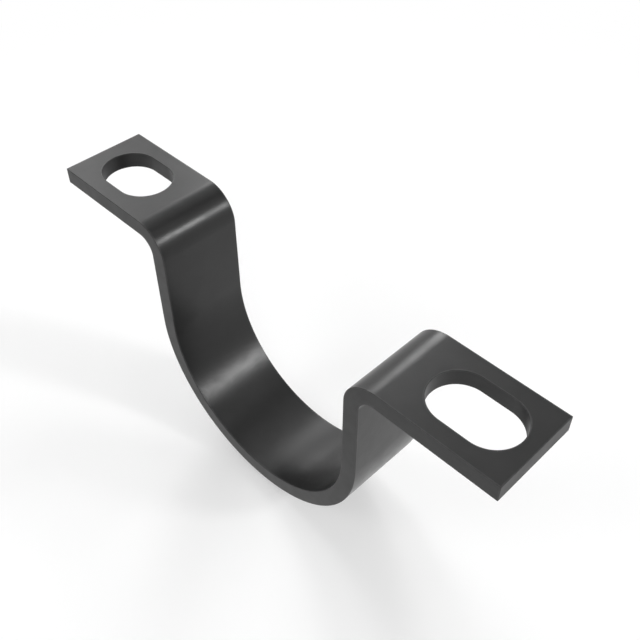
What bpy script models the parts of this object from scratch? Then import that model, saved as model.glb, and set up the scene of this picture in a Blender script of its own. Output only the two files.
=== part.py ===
"""Hose saddle clamp: one flat steel bar bent into a U-shaped saddle with a slotted flange on each side.

The hose lies in the saddle and is held against the flat surface that both flanges are bolted to.
Lengths are in metres and +Z is up. X runs along the strap from flange to flange, and Y along the hose.
The origin is on the plane of the two mounting faces, over the hose's axis, at half the strap's width.
"""

import math

import bmesh
import bpy

# Flat bar that the clamp is bent from
STRAP_WIDTH = 0.0254
STRAP_THICKNESS = 0.0047625
EDGE_BREAK = 0.00025

# Saddle: clear width between the legs, and clear depth below the mounting plane
SADDLE_WIDTH = 0.066675
SADDLE_DEPTH = 0.066675

# Bends between the legs and the flanges, measured on their hollow side
BEND_RADIUS = 0.0047

# Bolt slots: their width, each one's overall length, and the solid webs left before and after it
SLOT_WIDTH = 0.016
BEND_WEB = 0.00565
LEFT_SLOT_LENGTH = 0.0226
LEFT_END_WEB = 0.00515
RIGHT_SLOT_LENGTH = 0.024
RIGHT_END_WEB = 0.00375

# How far a slot's cutter runs past both faces of its flange
CUT_OVERRUN = 0.002

# Flat steps that each curve is drawn with
SADDLE_QUADRANT_STEPS = 24
BEND_STEPS = 12
SLOT_END_STEPS = 20
EDGE_BREAK_STEPS = 2

# Edges that turn more sharply than this are real corners, and the rest belong to smooth curves
CORNER_ANGLE = math.radians(50)

# Satin black paint over the steel
PAINT_COLOUR = (0.014, 0.014, 0.014, 1.0)
PAINT_METALLIC = 0
PAINT_ROUGHNESS = 0.3

# Places that follow from the sizes
SADDLE_RADIUS = SADDLE_WIDTH / 2
HOSE_AXIS_Z = SADDLE_RADIUS - SADDLE_DEPTH
LEG_BACK_X = SADDLE_RADIUS + STRAP_THICKNESS
BEND_CENTRE_X = LEG_BACK_X + BEND_RADIUS
BEND_CENTRE_Z = -STRAP_THICKNESS - BEND_RADIUS
SLOT_START_X = BEND_CENTRE_X + BEND_WEB
LEFT_FLANGE_REACH = SLOT_START_X + LEFT_SLOT_LENGTH + LEFT_END_WEB
RIGHT_FLANGE_REACH = SLOT_START_X + RIGHT_SLOT_LENGTH + RIGHT_END_WEB


def clear_scene():
    """Removes whatever the scene holds."""
    for obj in list(bpy.data.objects):
        bpy.data.objects.remove(obj, do_unlink=True)


def painted_steel():
    """Steel under satin black paint."""
    material = bpy.data.materials.new("painted_steel")
    material.use_nodes = True
    shader = material.node_tree.nodes["Principled BSDF"]
    shader.inputs["Base Color"].default_value = PAINT_COLOUR
    shader.inputs["Metallic"].default_value = PAINT_METALLIC
    shader.inputs["Roughness"].default_value = PAINT_ROUGHNESS
    return material


def new_object(name, mesh_data):
    """Turns a bmesh into a named object in the scene."""
    mesh = bpy.data.meshes.new(name)
    bmesh.ops.recalc_face_normals(mesh_data, faces=mesh_data.faces)
    mesh_data.to_mesh(mesh)
    mesh_data.free()
    obj = bpy.data.objects.new(name, mesh)
    bpy.context.scene.collection.objects.link(obj)
    return obj


def spread(start, end, steps):
    """Evenly spaced values from start to end, both included."""
    return [start + (end - start) * step / steps for step in range(steps + 1)]


def around(centre, radius, angle):
    """The point at an angle on a circle, as its two coordinates in the circle's plane."""
    return centre[0] + radius * math.cos(angle), centre[1] + radius * math.sin(angle)


def half_section(reach):
    """Pairs of points on the strap's hose side and its back, from a flange's end to the saddle's bottom.

    reach is how far the flange's end lies from the middle of the clamp. Each pair lies square across
    the strap, so the bar keeps its thickness through both curves.
    """
    pairs = [((reach, 0), (reach, -STRAP_THICKNESS))]
    bend_centre = (BEND_CENTRE_X, BEND_CENTRE_Z)
    for angle in spread(math.pi / 2, math.pi, BEND_STEPS):
        crown = around(bend_centre, BEND_RADIUS + STRAP_THICKNESS, angle)
        hollow = around(bend_centre, BEND_RADIUS, angle)
        pairs.append((crown, hollow))
    hose_axis = (0, HOSE_AXIS_Z)
    for angle in spread(0, -math.pi / 2, SADDLE_QUADRANT_STEPS):
        seat = around(hose_axis, SADDLE_RADIUS, angle)
        back = around(hose_axis, SADDLE_RADIUS + STRAP_THICKNESS, angle)
        pairs.append((seat, back))
    return pairs


def mirrored(pairs):
    """The same pairs on the strap's left half, in the opposite order."""
    return [((-face[0], face[1]), (-back[0], back[1])) for face, back in reversed(pairs)]


def bent_strap():
    """The bar's side profile as a chain of faces, drawn out across the strap's width."""
    right = half_section(RIGHT_FLANGE_REACH)
    left = mirrored(half_section(LEFT_FLANGE_REACH))
    pairs = right + left[1:]
    near_side = -STRAP_WIDTH / 2
    strap = bmesh.new()
    rows = []
    for face, back in pairs:
        rows.append([strap.verts.new((x, near_side, z)) for x, z in (face, back)])
    for (face_a, back_a), (face_b, back_b) in zip(rows, rows[1:]):
        strap.faces.new((face_a, face_b, back_b, back_a))
    drawn = bmesh.ops.extrude_face_region(strap, geom=strap.faces[:])
    far_verts = [item for item in drawn["geom"] if isinstance(item, bmesh.types.BMVert)]
    bmesh.ops.translate(strap, verts=far_verts, vec=(0, STRAP_WIDTH, 0))
    obj = new_object("saddle_strap", strap)
    obj.data.shade_smooth()
    obj.data.set_sharp_from_angle(angle=CORNER_ANGLE)
    return obj


def slot_cutter(name, side, length):
    """A punch the shape of one round-ended slot, which runs past both faces of its flange.

    side is 1 for the right flange and -1 for the left one.
    """
    end_radius = SLOT_WIDTH / 2
    inner_centre = SLOT_START_X + end_radius
    outer_centre = SLOT_START_X + length - end_radius
    outline = [around((outer_centre, 0), end_radius, angle)
               for angle in spread(-math.pi / 2, math.pi / 2, SLOT_END_STEPS)]
    outline += [around((inner_centre, 0), end_radius, angle)
                for angle in spread(math.pi / 2, 3 * math.pi / 2, SLOT_END_STEPS)]
    low = -STRAP_THICKNESS - CUT_OVERRUN
    punch = bmesh.new()
    sole = punch.faces.new([punch.verts.new((side * x, y, low)) for x, y in outline])
    drawn = bmesh.ops.extrude_face_region(punch, geom=[sole])
    top_verts = [item for item in drawn["geom"] if isinstance(item, bmesh.types.BMVert)]
    bmesh.ops.translate(punch, verts=top_verts, vec=(0, 0, CUT_OVERRUN - low))
    obj = new_object(name, punch)
    obj.hide_render = True
    obj.display_type = "WIRE"
    return obj


def punch_slot(strap, cutter):
    """Cuts one slot through its flange."""
    cut = strap.modifiers.new(cutter.name, "BOOLEAN")
    cut.operation = "DIFFERENCE"
    cut.solver = "EXACT"
    cut.object = cutter


def break_edges(strap):
    """Rounds every corner of the strap a little, the slots' rims too, as tumbling and the paint leave them."""
    rounding = strap.modifiers.new("edge_break", "BEVEL")
    rounding.width = EDGE_BREAK
    rounding.segments = EDGE_BREAK_STEPS
    rounding.limit_method = "ANGLE"
    rounding.angle_limit = CORNER_ANGLE
    shading = strap.modifiers.new("even_shading", "WEIGHTED_NORMAL")
    shading.keep_sharp = True


def main():
    clear_scene()
    strap = bent_strap()
    strap.data.materials.append(painted_steel())
    punch_slot(strap, slot_cutter("left_slot_punch", -1, LEFT_SLOT_LENGTH))
    punch_slot(strap, slot_cutter("right_slot_punch", 1, RIGHT_SLOT_LENGTH))
    break_edges(strap)


main()
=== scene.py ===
"""Looks of the hose saddle clamp: the bent steel strap as one fine smooth mesh, painted satin black.

The strap is laid out flat, as the blank that it is made from, and then rolled onto the path of the bent
clamp. On the blank, x runs along the strap from the saddle's bottom, y across it, and z is minus the depth
below the face that the hose touches. Lengths are in metres.
"""

import math

import bmesh
import bpy
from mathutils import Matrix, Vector


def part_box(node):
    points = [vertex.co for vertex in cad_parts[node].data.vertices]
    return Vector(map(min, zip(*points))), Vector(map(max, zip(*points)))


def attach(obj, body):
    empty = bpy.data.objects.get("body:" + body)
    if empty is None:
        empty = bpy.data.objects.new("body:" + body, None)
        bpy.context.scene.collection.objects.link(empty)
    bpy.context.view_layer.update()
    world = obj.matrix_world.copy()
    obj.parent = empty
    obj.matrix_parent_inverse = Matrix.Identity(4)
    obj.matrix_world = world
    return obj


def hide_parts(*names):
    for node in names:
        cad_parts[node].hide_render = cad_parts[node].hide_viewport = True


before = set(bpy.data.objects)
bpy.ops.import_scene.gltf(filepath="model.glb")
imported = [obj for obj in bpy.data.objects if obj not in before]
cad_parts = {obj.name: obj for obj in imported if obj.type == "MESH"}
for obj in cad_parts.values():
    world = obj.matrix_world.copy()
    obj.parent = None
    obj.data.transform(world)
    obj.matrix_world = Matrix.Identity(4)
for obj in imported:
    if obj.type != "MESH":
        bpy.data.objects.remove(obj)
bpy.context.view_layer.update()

# Sizes of the strap, as its solid has them
STRAP_LOW, STRAP_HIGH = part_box("saddle_strap")
HALF_WIDTH = STRAP_HIGH.y
THICKNESS = 0.0047625
SADDLE_RADIUS = 0.0333375
BEND_RADIUS = 0.0047
SLOT_WIDTH = 0.016
SLOT_START_X = 0.04845
LEFT_SLOT_LENGTH = 0.0226
RIGHT_SLOT_LENGTH = 0.024

# Rounding of the sheared edges and the slots' rims, which turn by more than the corner angle
EDGE_ROUNDING = 0.00016
ROUNDING_STEPS = 3
ROUND_PROFILE = 0.5
CORNER_ANGLE = math.radians(50)

# Faces across the strap and round the middle 90 degrees of a slot's end, round the 45 degrees on each side
# of that, along a slot's straight sides, from a flange's edge to its slot, and along each half of the
# saddle, each leg and each bend
ACROSS = 16
CORNER_STEPS = 10
STRAIGHT_STEPS = 6
RINGS = 5
QUADRANT_STEPS = 64
LEG_STEPS = 14
BEND_STEPS = 28

# Cuts that divide the walls between the strap's two faces
WALL_CUTS = 3

# Places that follow from the sizes. Distances along the blank are measured at half the strap's thickness
HOSE_AXIS_Z = STRAP_LOW.z + THICKNESS + SADDLE_RADIUS
BEND_CENTRE_X = SADDLE_RADIUS + THICKNESS + BEND_RADIUS
BEND_CENTRE_Z = -THICKNESS - BEND_RADIUS
MIDDLE_SADDLE_RADIUS = SADDLE_RADIUS + THICKNESS / 2
MIDDLE_BEND_RADIUS = BEND_RADIUS + THICKNESS / 2
SADDLE_END = MIDDLE_SADDLE_RADIUS * math.pi / 2
LEG_END = SADDLE_END + BEND_CENTRE_Z - HOSE_AXIS_Z
BEND_END = LEG_END + MIDDLE_BEND_RADIUS * math.pi / 2
FLANGE_END = BEND_END + STRAP_HIGH.x - BEND_CENTRE_X
SLOT_START = BEND_END + SLOT_START_X - BEND_CENTRE_X
SLOT_END_RADIUS = SLOT_WIDTH / 2

# Paint: its greys, its gloss, its roughness from the smoothest place to the roughest, and what rubbing and
# a sheared face add to that
DARK_PAINT = 0.0110
LIGHT_PAINT = 0.0142
RUBBED_PAINT = 0.04
PAINT_GLOSS = 0.36
LEAST_ROUGH = 0.275
MOST_ROUGH = 0.325
RUBBED_ADDS = 0.08
SHEARED_ADDS = 0.15

# Paint: how many blotches, changes of sheen, specks in the rubbing and dimples there are to the metre, and
# how deep the dimples are
CLOUDS = 90
SHEEN_CHANGES = 240
SPECKS = 500
DIMPLES = 900
DIMPLE_DEPTH = 0.00001

# Paint: where towards a corner it starts to be rubbed, with 1 on the rounding itself, and how much of the
# rubbing is left between the specks
RUBBING_STARTS = 0.7
LEAST_RUBBING = 0.6

# Stretches of a noise that are widened to a whole change, for soft blotches and for crisper specks
SOFT_CHANGE = (0.3, 0.7)
CRISP_CHANGE = (0.35, 0.65)

# Camera: the photograph looks down at 45 degrees from the front right
LENS = 48.45
SENSOR = 36.0
CLIP_START = 0.01
CLIP_END = 50
CAMERA_PLACE = (0.1191, -0.10588, 0.14296)
CAMERA_LOOK = (-0.5, 0.5, -math.sqrt(0.5))

# Floor: how far it reaches, its grey, its roughness, the light that it gives off to the eye, and how far
# from the middle the shadow on it starts to fade into white and is gone
FLOOR_REACH = 3.0
FLOOR_GREY = 0.65
FLOOR_ROUGHNESS = 0.9
FLOOR_GLOW = 0.36
SHADOW_FADES = 0.12
SHADOW_GONE = 0.32

# Surroundings: white below the first elevation and grey above the second, in degrees
WHITE_BELOW = 12
GREY_ABOVE = 32
OVERHEAD_GREY = 0.2

# Lamps: they all stand this far off and face this point
LAMP_DISTANCE = 6.0
LAMP_AIM = Vector((0, 0, -0.03))

# Where Blender's mix node keeps its share and two colours, and where it gives the mixed colour
MIX_INPUTS = (0, 6, 7)
MIX_OUTPUT = 2


def spread(start, end, steps):
    """Evenly spaced values from start to end, both included."""
    return [start + (end - start) * step / steps for step in range(steps + 1)]


def on_bent_strap(point):
    """Where a point of the flat blank lies once the strap is bent."""
    side = -1 if point.x < 0 else 1
    along = abs(point.x)
    depth = -point.z
    if along < SADDLE_END:
        angle = along / MIDDLE_SADDLE_RADIUS - math.pi / 2
        radius = SADDLE_RADIUS + depth
        x = radius * math.cos(angle)
        z = HOSE_AXIS_Z + radius * math.sin(angle)
    elif along < LEG_END:
        x = SADDLE_RADIUS + depth
        z = HOSE_AXIS_Z + along - SADDLE_END
    elif along < BEND_END:
        angle = math.pi - (along - LEG_END) / MIDDLE_BEND_RADIUS
        radius = BEND_RADIUS + THICKNESS - depth
        x = BEND_CENTRE_X + radius * math.cos(angle)
        z = BEND_CENTRE_Z + radius * math.sin(angle)
    else:
        x = BEND_CENTRE_X + along - BEND_END
        z = -depth
    return Vector((side * x, point.y, z))


def bent_rows(blank):
    """The face of the blank between its flanges, in rows of faces across it.

    Returns the rows of points where it meets the left flange and the right one.
    """
    half = spread(0, SADDLE_END, QUADRANT_STEPS)[:-1]
    half += spread(SADDLE_END, LEG_END, LEG_STEPS)[:-1]
    half += spread(LEG_END, BEND_END, BEND_STEPS)
    stations = [-along for along in reversed(half[1:])] + half
    rows = [[blank.verts.new((along, across, 0)) for across in spread(-HALF_WIDTH, HALF_WIDTH, ACROSS)]
            for along in stations]
    for near, far in zip(rows, rows[1:]):
        for a, b, c, d in zip(near, far, far[1:], near[1:]):
            blank.faces.new((a, b, c, d))
    return rows[0], rows[-1]


def arc(centre_x, start, end, steps):
    """Points on a slot's round end, from one angle in degrees to another, without the last point."""
    turns = [math.radians(degrees) for degrees in spread(start, end, steps)[:-1]]
    return [(centre_x + SLOT_END_RADIUS * math.cos(turn), SLOT_END_RADIUS * math.sin(turn))
            for turn in turns]


def slot_outline(length):
    """A slot's rim on the blank, once round from the side that is nearest the bend."""
    inner = SLOT_START + SLOT_END_RADIUS
    outer = SLOT_START + length - SLOT_END_RADIUS
    straight = spread(inner, outer, STRAIGHT_STEPS)
    points = arc(inner, 225, 135, ACROSS) + arc(inner, 135, 90, CORNER_STEPS)
    points += [(x, SLOT_END_RADIUS) for x in straight[:-1]]
    points += arc(outer, 90, 45, CORNER_STEPS) + arc(outer, 45, -45, ACROSS)
    points += arc(outer, -45, -90, CORNER_STEPS)
    points += [(x, -SLOT_END_RADIUS) for x in reversed(straight[1:])]
    points += arc(inner, 270, 225, CORNER_STEPS)
    return points


def flange_face(blank, side, bend_row, slot_length):
    """The face of one flange: rings of faces from the flange's edges in to the slot's rim.

    side is 1 for the right flange and -1 for the left one. bend_row is the row of points at the bend.
    """
    rim = slot_outline(slot_length)
    sides = spread(BEND_END, FLANGE_END, 2 * CORNER_STEPS + STRAIGHT_STEPS)
    ends = spread(HALF_WIDTH, -HALF_WIDTH, ACROSS)
    outer = list(bend_row)
    outer += [blank.verts.new((side * x, HALF_WIDTH, 0)) for x in sides[1:]]
    outer += [blank.verts.new((side * FLANGE_END, y, 0)) for y in ends[1:]]
    outer += [blank.verts.new((side * x, -HALF_WIDTH, 0)) for x in reversed(sides[1:-1])]
    rings = [outer]
    for share in spread(0, 1, RINGS)[1:]:
        rings.append([blank.verts.new(edge.co.lerp(Vector((side * x, y, 0)), share))
                      for edge, (x, y) in zip(outer, rim)])
    for ring, inside in zip(rings, rings[1:]):
        for i in range(len(ring)):
            blank.faces.new((ring[i - 1], ring[i], inside[i], inside[i - 1]))


def draw_out(blank):
    """Gives the face its thickness, marks the walls as cut edges, and divides them into a few rows."""
    drawn = bmesh.ops.extrude_face_region(blank, geom=blank.faces[:])
    back = [item for item in drawn["geom"] if isinstance(item, bmesh.types.BMVert)]
    bmesh.ops.translate(blank, verts=back, vec=(0, 0, -THICKNESS))
    bmesh.ops.recalc_face_normals(blank, faces=blank.faces)
    cut = blank.faces.layers.float.new("cut_edge")
    for face in blank.faces:
        face[cut] = face.normal.xy.length > abs(face.normal.z)
    upright = [edge for edge in blank.edges
               if abs(edge.verts[0].co.z - edge.verts[1].co.z) > THICKNESS / 2]
    bmesh.ops.subdivide_edges(blank, edges=upright, cuts=WALL_CUTS, use_grid_fill=True)


def round_corners(blank):
    """Rounds the outline's edges and the slots' rims. The new points are marked as places that wear."""
    wear = blank.verts.layers.float.new("edge_wear")
    corners = [edge for edge in blank.edges if edge.calc_face_angle() > CORNER_ANGLE]
    rounded = bmesh.ops.bevel(blank, geom=corners, offset=EDGE_ROUNDING, offset_type="OFFSET",
                              segments=ROUNDING_STEPS, profile=ROUND_PROFILE, affect="EDGES")
    for vert in rounded["verts"]:
        vert[wear] = 1
    split_corner_faces(blank, wear)


def split_corner_faces(blank, wear):
    """Cuts each face that has one unworn point from there to the point across it.

    Both sides of a corner then wear alike.
    """
    for face in [face for face in blank.faces if len(face.verts) == 4]:
        verts = list(face.verts)
        unworn = [vert[wear] < 1 for vert in verts]
        if sum(unworn) == 1:
            inner = unworn.index(True)
            bmesh.utils.face_split(face, verts[inner], verts[inner - 2])


def bent_strap():
    """The whole clamp as one piece."""
    blank = bmesh.new()
    left_row, right_row = bent_rows(blank)
    flange_face(blank, -1, left_row, LEFT_SLOT_LENGTH)
    flange_face(blank, 1, right_row, RIGHT_SLOT_LENGTH)
    draw_out(blank)
    round_corners(blank)
    for vert in blank.verts:
        vert.co = on_bent_strap(vert.co)
    bmesh.ops.recalc_face_normals(blank, faces=blank.faces)
    mesh = bpy.data.meshes.new("bent_strap")
    blank.to_mesh(mesh)
    blank.free()
    mesh.shade_smooth()
    strap = bpy.data.objects.new("bent_strap", mesh)
    bpy.context.scene.collection.objects.link(strap)
    strap.modifiers.new("even_shading", "WEIGHTED_NORMAL")
    return strap


class Nodes:
    """Short ways to add and link nodes in one node tree."""

    def __init__(self, owner):
        owner.use_nodes = True
        self.tree = owner.node_tree

    def add(self, kind, **settings):
        node = self.tree.nodes.new(kind)
        for name, value in settings.items():
            setattr(node, name, value)
        return node

    def put(self, socket, value):
        """Gives an input its value. A value that is a socket is linked."""
        if isinstance(value, bpy.types.NodeSocket):
            self.tree.links.new(value, socket)
        else:
            socket.default_value = value

    def feed(self, node, **inputs):
        """Gives inputs their values by name, with _ for a space."""
        for name, value in inputs.items():
            self.put(node.inputs[name.replace("_", " ")], value)
        return node

    def noise(self, place, scale, detail, roughness):
        """Soft blotches, so many to the metre."""
        node = self.add("ShaderNodeTexNoise")
        self.feed(node, Vector=place, Scale=scale, Detail=detail, Roughness=roughness)
        return node.outputs["Fac"]

    def remap(self, value, low, high, to_low=0.0, to_high=1.0):
        """Stretches the range from low to high onto another one, with soft ends."""
        node = self.add("ShaderNodeMapRange", interpolation_type="SMOOTHSTEP")
        self.feed(node, Value=value, From_Min=low, From_Max=high, To_Min=to_low, To_Max=to_high)
        return node.outputs["Result"]

    def maths(self, operation, first, second):
        """Sum, product or another operation on two numbers or sockets."""
        node = self.add("ShaderNodeMath", operation=operation)
        self.put(node.inputs[0], first)
        self.put(node.inputs[1], second)
        return node.outputs[0]

    def blend(self, share, first, second):
        """Blends two colours or sockets of colours."""
        node = self.add("ShaderNodeMix", data_type="RGBA")
        for place, value in zip(MIX_INPUTS, (share, first, second)):
            self.put(node.inputs[place], value)
        return node.outputs[MIX_OUTPUT]

    def attribute(self, name):
        """A number that the mesh carries."""
        return self.add("ShaderNodeAttribute", attribute_name=name).outputs["Fac"]

    def object_place(self):
        """Where a point lies on its object."""
        return self.add("ShaderNodeTexCoord").outputs["Object"]


def grey(level):
    """A neutral colour."""
    return level, level, level, 1.0


def satin_black_paint():
    """Satin black: faint clouding, a fine orange peel, and thinner, rubbed paint along the corners."""
    material = bpy.data.materials.new("satin_black_paint")
    nodes = Nodes(material)
    shader = nodes.tree.nodes["Principled BSDF"]
    place = nodes.object_place()
    corner = nodes.remap(nodes.attribute("edge_wear"), RUBBING_STARTS, 1.0)
    specks = nodes.noise(place, SPECKS, detail=3, roughness=0.6)
    rubbed = nodes.maths("MULTIPLY", corner, nodes.remap(specks, *CRISP_CHANGE, LEAST_RUBBING, 1.0))
    clouds = nodes.remap(nodes.noise(place, CLOUDS, detail=4, roughness=0.6), *SOFT_CHANGE)
    paint = nodes.blend(clouds, grey(DARK_PAINT), grey(LIGHT_PAINT))
    sheen = nodes.noise(place, SHEEN_CHANGES, detail=3, roughness=0.5)
    roughness = nodes.remap(sheen, *SOFT_CHANGE, LEAST_ROUGH, MOST_ROUGH)
    rougher = nodes.maths("ADD", nodes.maths("MULTIPLY", rubbed, RUBBED_ADDS),
                          nodes.maths("MULTIPLY", nodes.attribute("cut_edge"), SHEARED_ADDS))
    dimples = nodes.noise(place, DIMPLES, detail=2, roughness=0.5)
    peel = nodes.feed(nodes.add("ShaderNodeBump"), Height=dimples, Distance=DIMPLE_DEPTH)
    nodes.feed(shader, Base_Color=nodes.blend(rubbed, paint, grey(RUBBED_PAINT)),
               Roughness=nodes.maths("ADD", roughness, rougher), Normal=peel.outputs["Normal"],
               Metallic=0.0, Specular_IOR_Level=PAINT_GLOSS)
    return material


def camera():
    """The photograph's viewpoint."""
    data = bpy.data.cameras.new("camera")
    data.lens = LENS
    data.sensor_width = SENSOR
    data.clip_start = CLIP_START
    data.clip_end = CLIP_END
    obj = bpy.data.objects.new("camera", data)
    obj.location = CAMERA_PLACE
    obj.rotation_mode = "QUATERNION"
    obj.rotation_quaternion = Vector(CAMERA_LOOK).to_track_quat("-Z", "Y")
    bpy.context.scene.collection.objects.link(obj)
    bpy.context.scene.camera = obj


def white_floor():
    """White that takes a shadow near the clamp. Further off, and in reflections, it is pure white."""
    material = bpy.data.materials.new("white_floor")
    nodes = Nodes(material)
    path = nodes.add("ShaderNodeLightPath").outputs
    eye = path["Is Camera Ray"]
    mirrored = nodes.maths("MAXIMUM", path["Is Glossy Ray"], path["Is Transmission Ray"])
    distance = nodes.add("ShaderNodeVectorMath", operation="LENGTH")
    nodes.put(distance.inputs[0], nodes.object_place())
    far_off = nodes.remap(distance.outputs["Value"], SHADOW_FADES, SHADOW_GONE)
    near = nodes.feed(nodes.tree.nodes["Principled BSDF"], Base_Color=grey(FLOOR_GREY),
                      Roughness=FLOOR_ROUGHNESS, Specular_IOR_Level=0.0, Emission_Color=grey(1.0),
                      Emission_Strength=nodes.maths("MULTIPLY", eye, FLOOR_GLOW))
    white = nodes.feed(nodes.add("ShaderNodeEmission"), Color=grey(1.0), Strength=1.0)
    mix = nodes.add("ShaderNodeMixShader")
    nodes.put(mix.inputs[0], nodes.maths("MAXIMUM", nodes.maths("MULTIPLY", eye, far_off), mirrored))
    nodes.put(mix.inputs[1], near.outputs["BSDF"])
    nodes.put(mix.inputs[2], white.outputs["Emission"])
    nodes.feed(nodes.tree.nodes["Material Output"], Surface=mix.outputs["Shader"])
    return material


def floor():
    """A plain white floor at the height of the saddle's lowest point."""
    mesh = bpy.data.meshes.new("floor")
    plane = bmesh.new()
    bmesh.ops.create_grid(plane, x_segments=1, y_segments=1, size=FLOOR_REACH)
    plane.to_mesh(mesh)
    plane.free()
    obj = bpy.data.objects.new("floor", mesh)
    obj.location.z = STRAP_LOW.z
    bpy.context.scene.collection.objects.link(obj)
    mesh.materials.append(white_floor())


def surroundings():
    """White all round at the horizon, and a dim grey overhead."""
    world = bpy.data.worlds.new("studio")
    nodes = Nodes(world)
    sky = nodes.add("ShaderNodeTexCoord").outputs["Generated"]
    height = nodes.feed(nodes.add("ShaderNodeSeparateXYZ"), Vector=sky).outputs["Z"]
    low, high = (math.sin(math.radians(elevation)) for elevation in (WHITE_BELOW, GREY_ABOVE))
    brightness = nodes.remap(height, low, high, 1.0, OVERHEAD_GREY)
    nodes.feed(nodes.tree.nodes["Background"], Color=grey(1.0), Strength=brightness)
    bpy.context.scene.world = world


def soft_box(name, azimuth, elevation, width, height, brightness):
    """A soft lamp that faces the clamp.

    azimuth and elevation are where it stands, in degrees, and azimuth is counted from +X. width and height
    are its sides as seen from the clamp, in radians.
    """
    data = bpy.data.lights.new(name, "AREA")
    data.shape = "RECTANGLE"
    data.size = width * LAMP_DISTANCE
    data.size_y = height * LAMP_DISTANCE
    data.energy = brightness * math.pi * data.size * data.size_y
    lamp = bpy.data.objects.new(name, data)
    turn, rise = math.radians(azimuth), math.radians(elevation)
    away = Vector((math.cos(turn) * math.cos(rise), math.sin(turn) * math.cos(rise), math.sin(rise)))
    lamp.location = LAMP_AIM + away * LAMP_DISTANCE
    lamp.rotation_mode = "QUATERNION"
    lamp.rotation_quaternion = (-away).to_track_quat("-Z", "Y")
    lamp.visible_camera = False
    bpy.context.scene.collection.objects.link(lamp)


def lamps():
    """Soft boxes behind the clamp on both sides, one overhead, and two gentle ones in front."""
    soft_box("right_rear", azimuth=30, elevation=28.5, width=0.13, height=0.18, brightness=37)
    soft_box("left_rear", azimuth=134, elevation=30.5, width=0.22, height=0.48, brightness=8.4)
    soft_box("left_wall", azimuth=157.5, elevation=48, width=0.18, height=1.4, brightness=3.2)
    soft_box("overhead", azimuth=127, elevation=55.5, width=0.86, height=0.75, brightness=0.73)
    soft_box("right_strip", azimuth=42, elevation=58, width=0.18, height=0.72, brightness=1.3)
    soft_box("front_right", azimuth=-40, elevation=32, width=0.35, height=0.35, brightness=4)
    soft_box("front_left", azimuth=-125, elevation=35, width=0.4, height=0.4, brightness=3)


strap = bent_strap()
strap.data.materials.append(satin_black_paint())
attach(strap, "root")
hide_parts("saddle_strap")
camera()
floor()
surroundings()
lamps()
bpy.context.scene.view_settings.view_transform = "Standard"
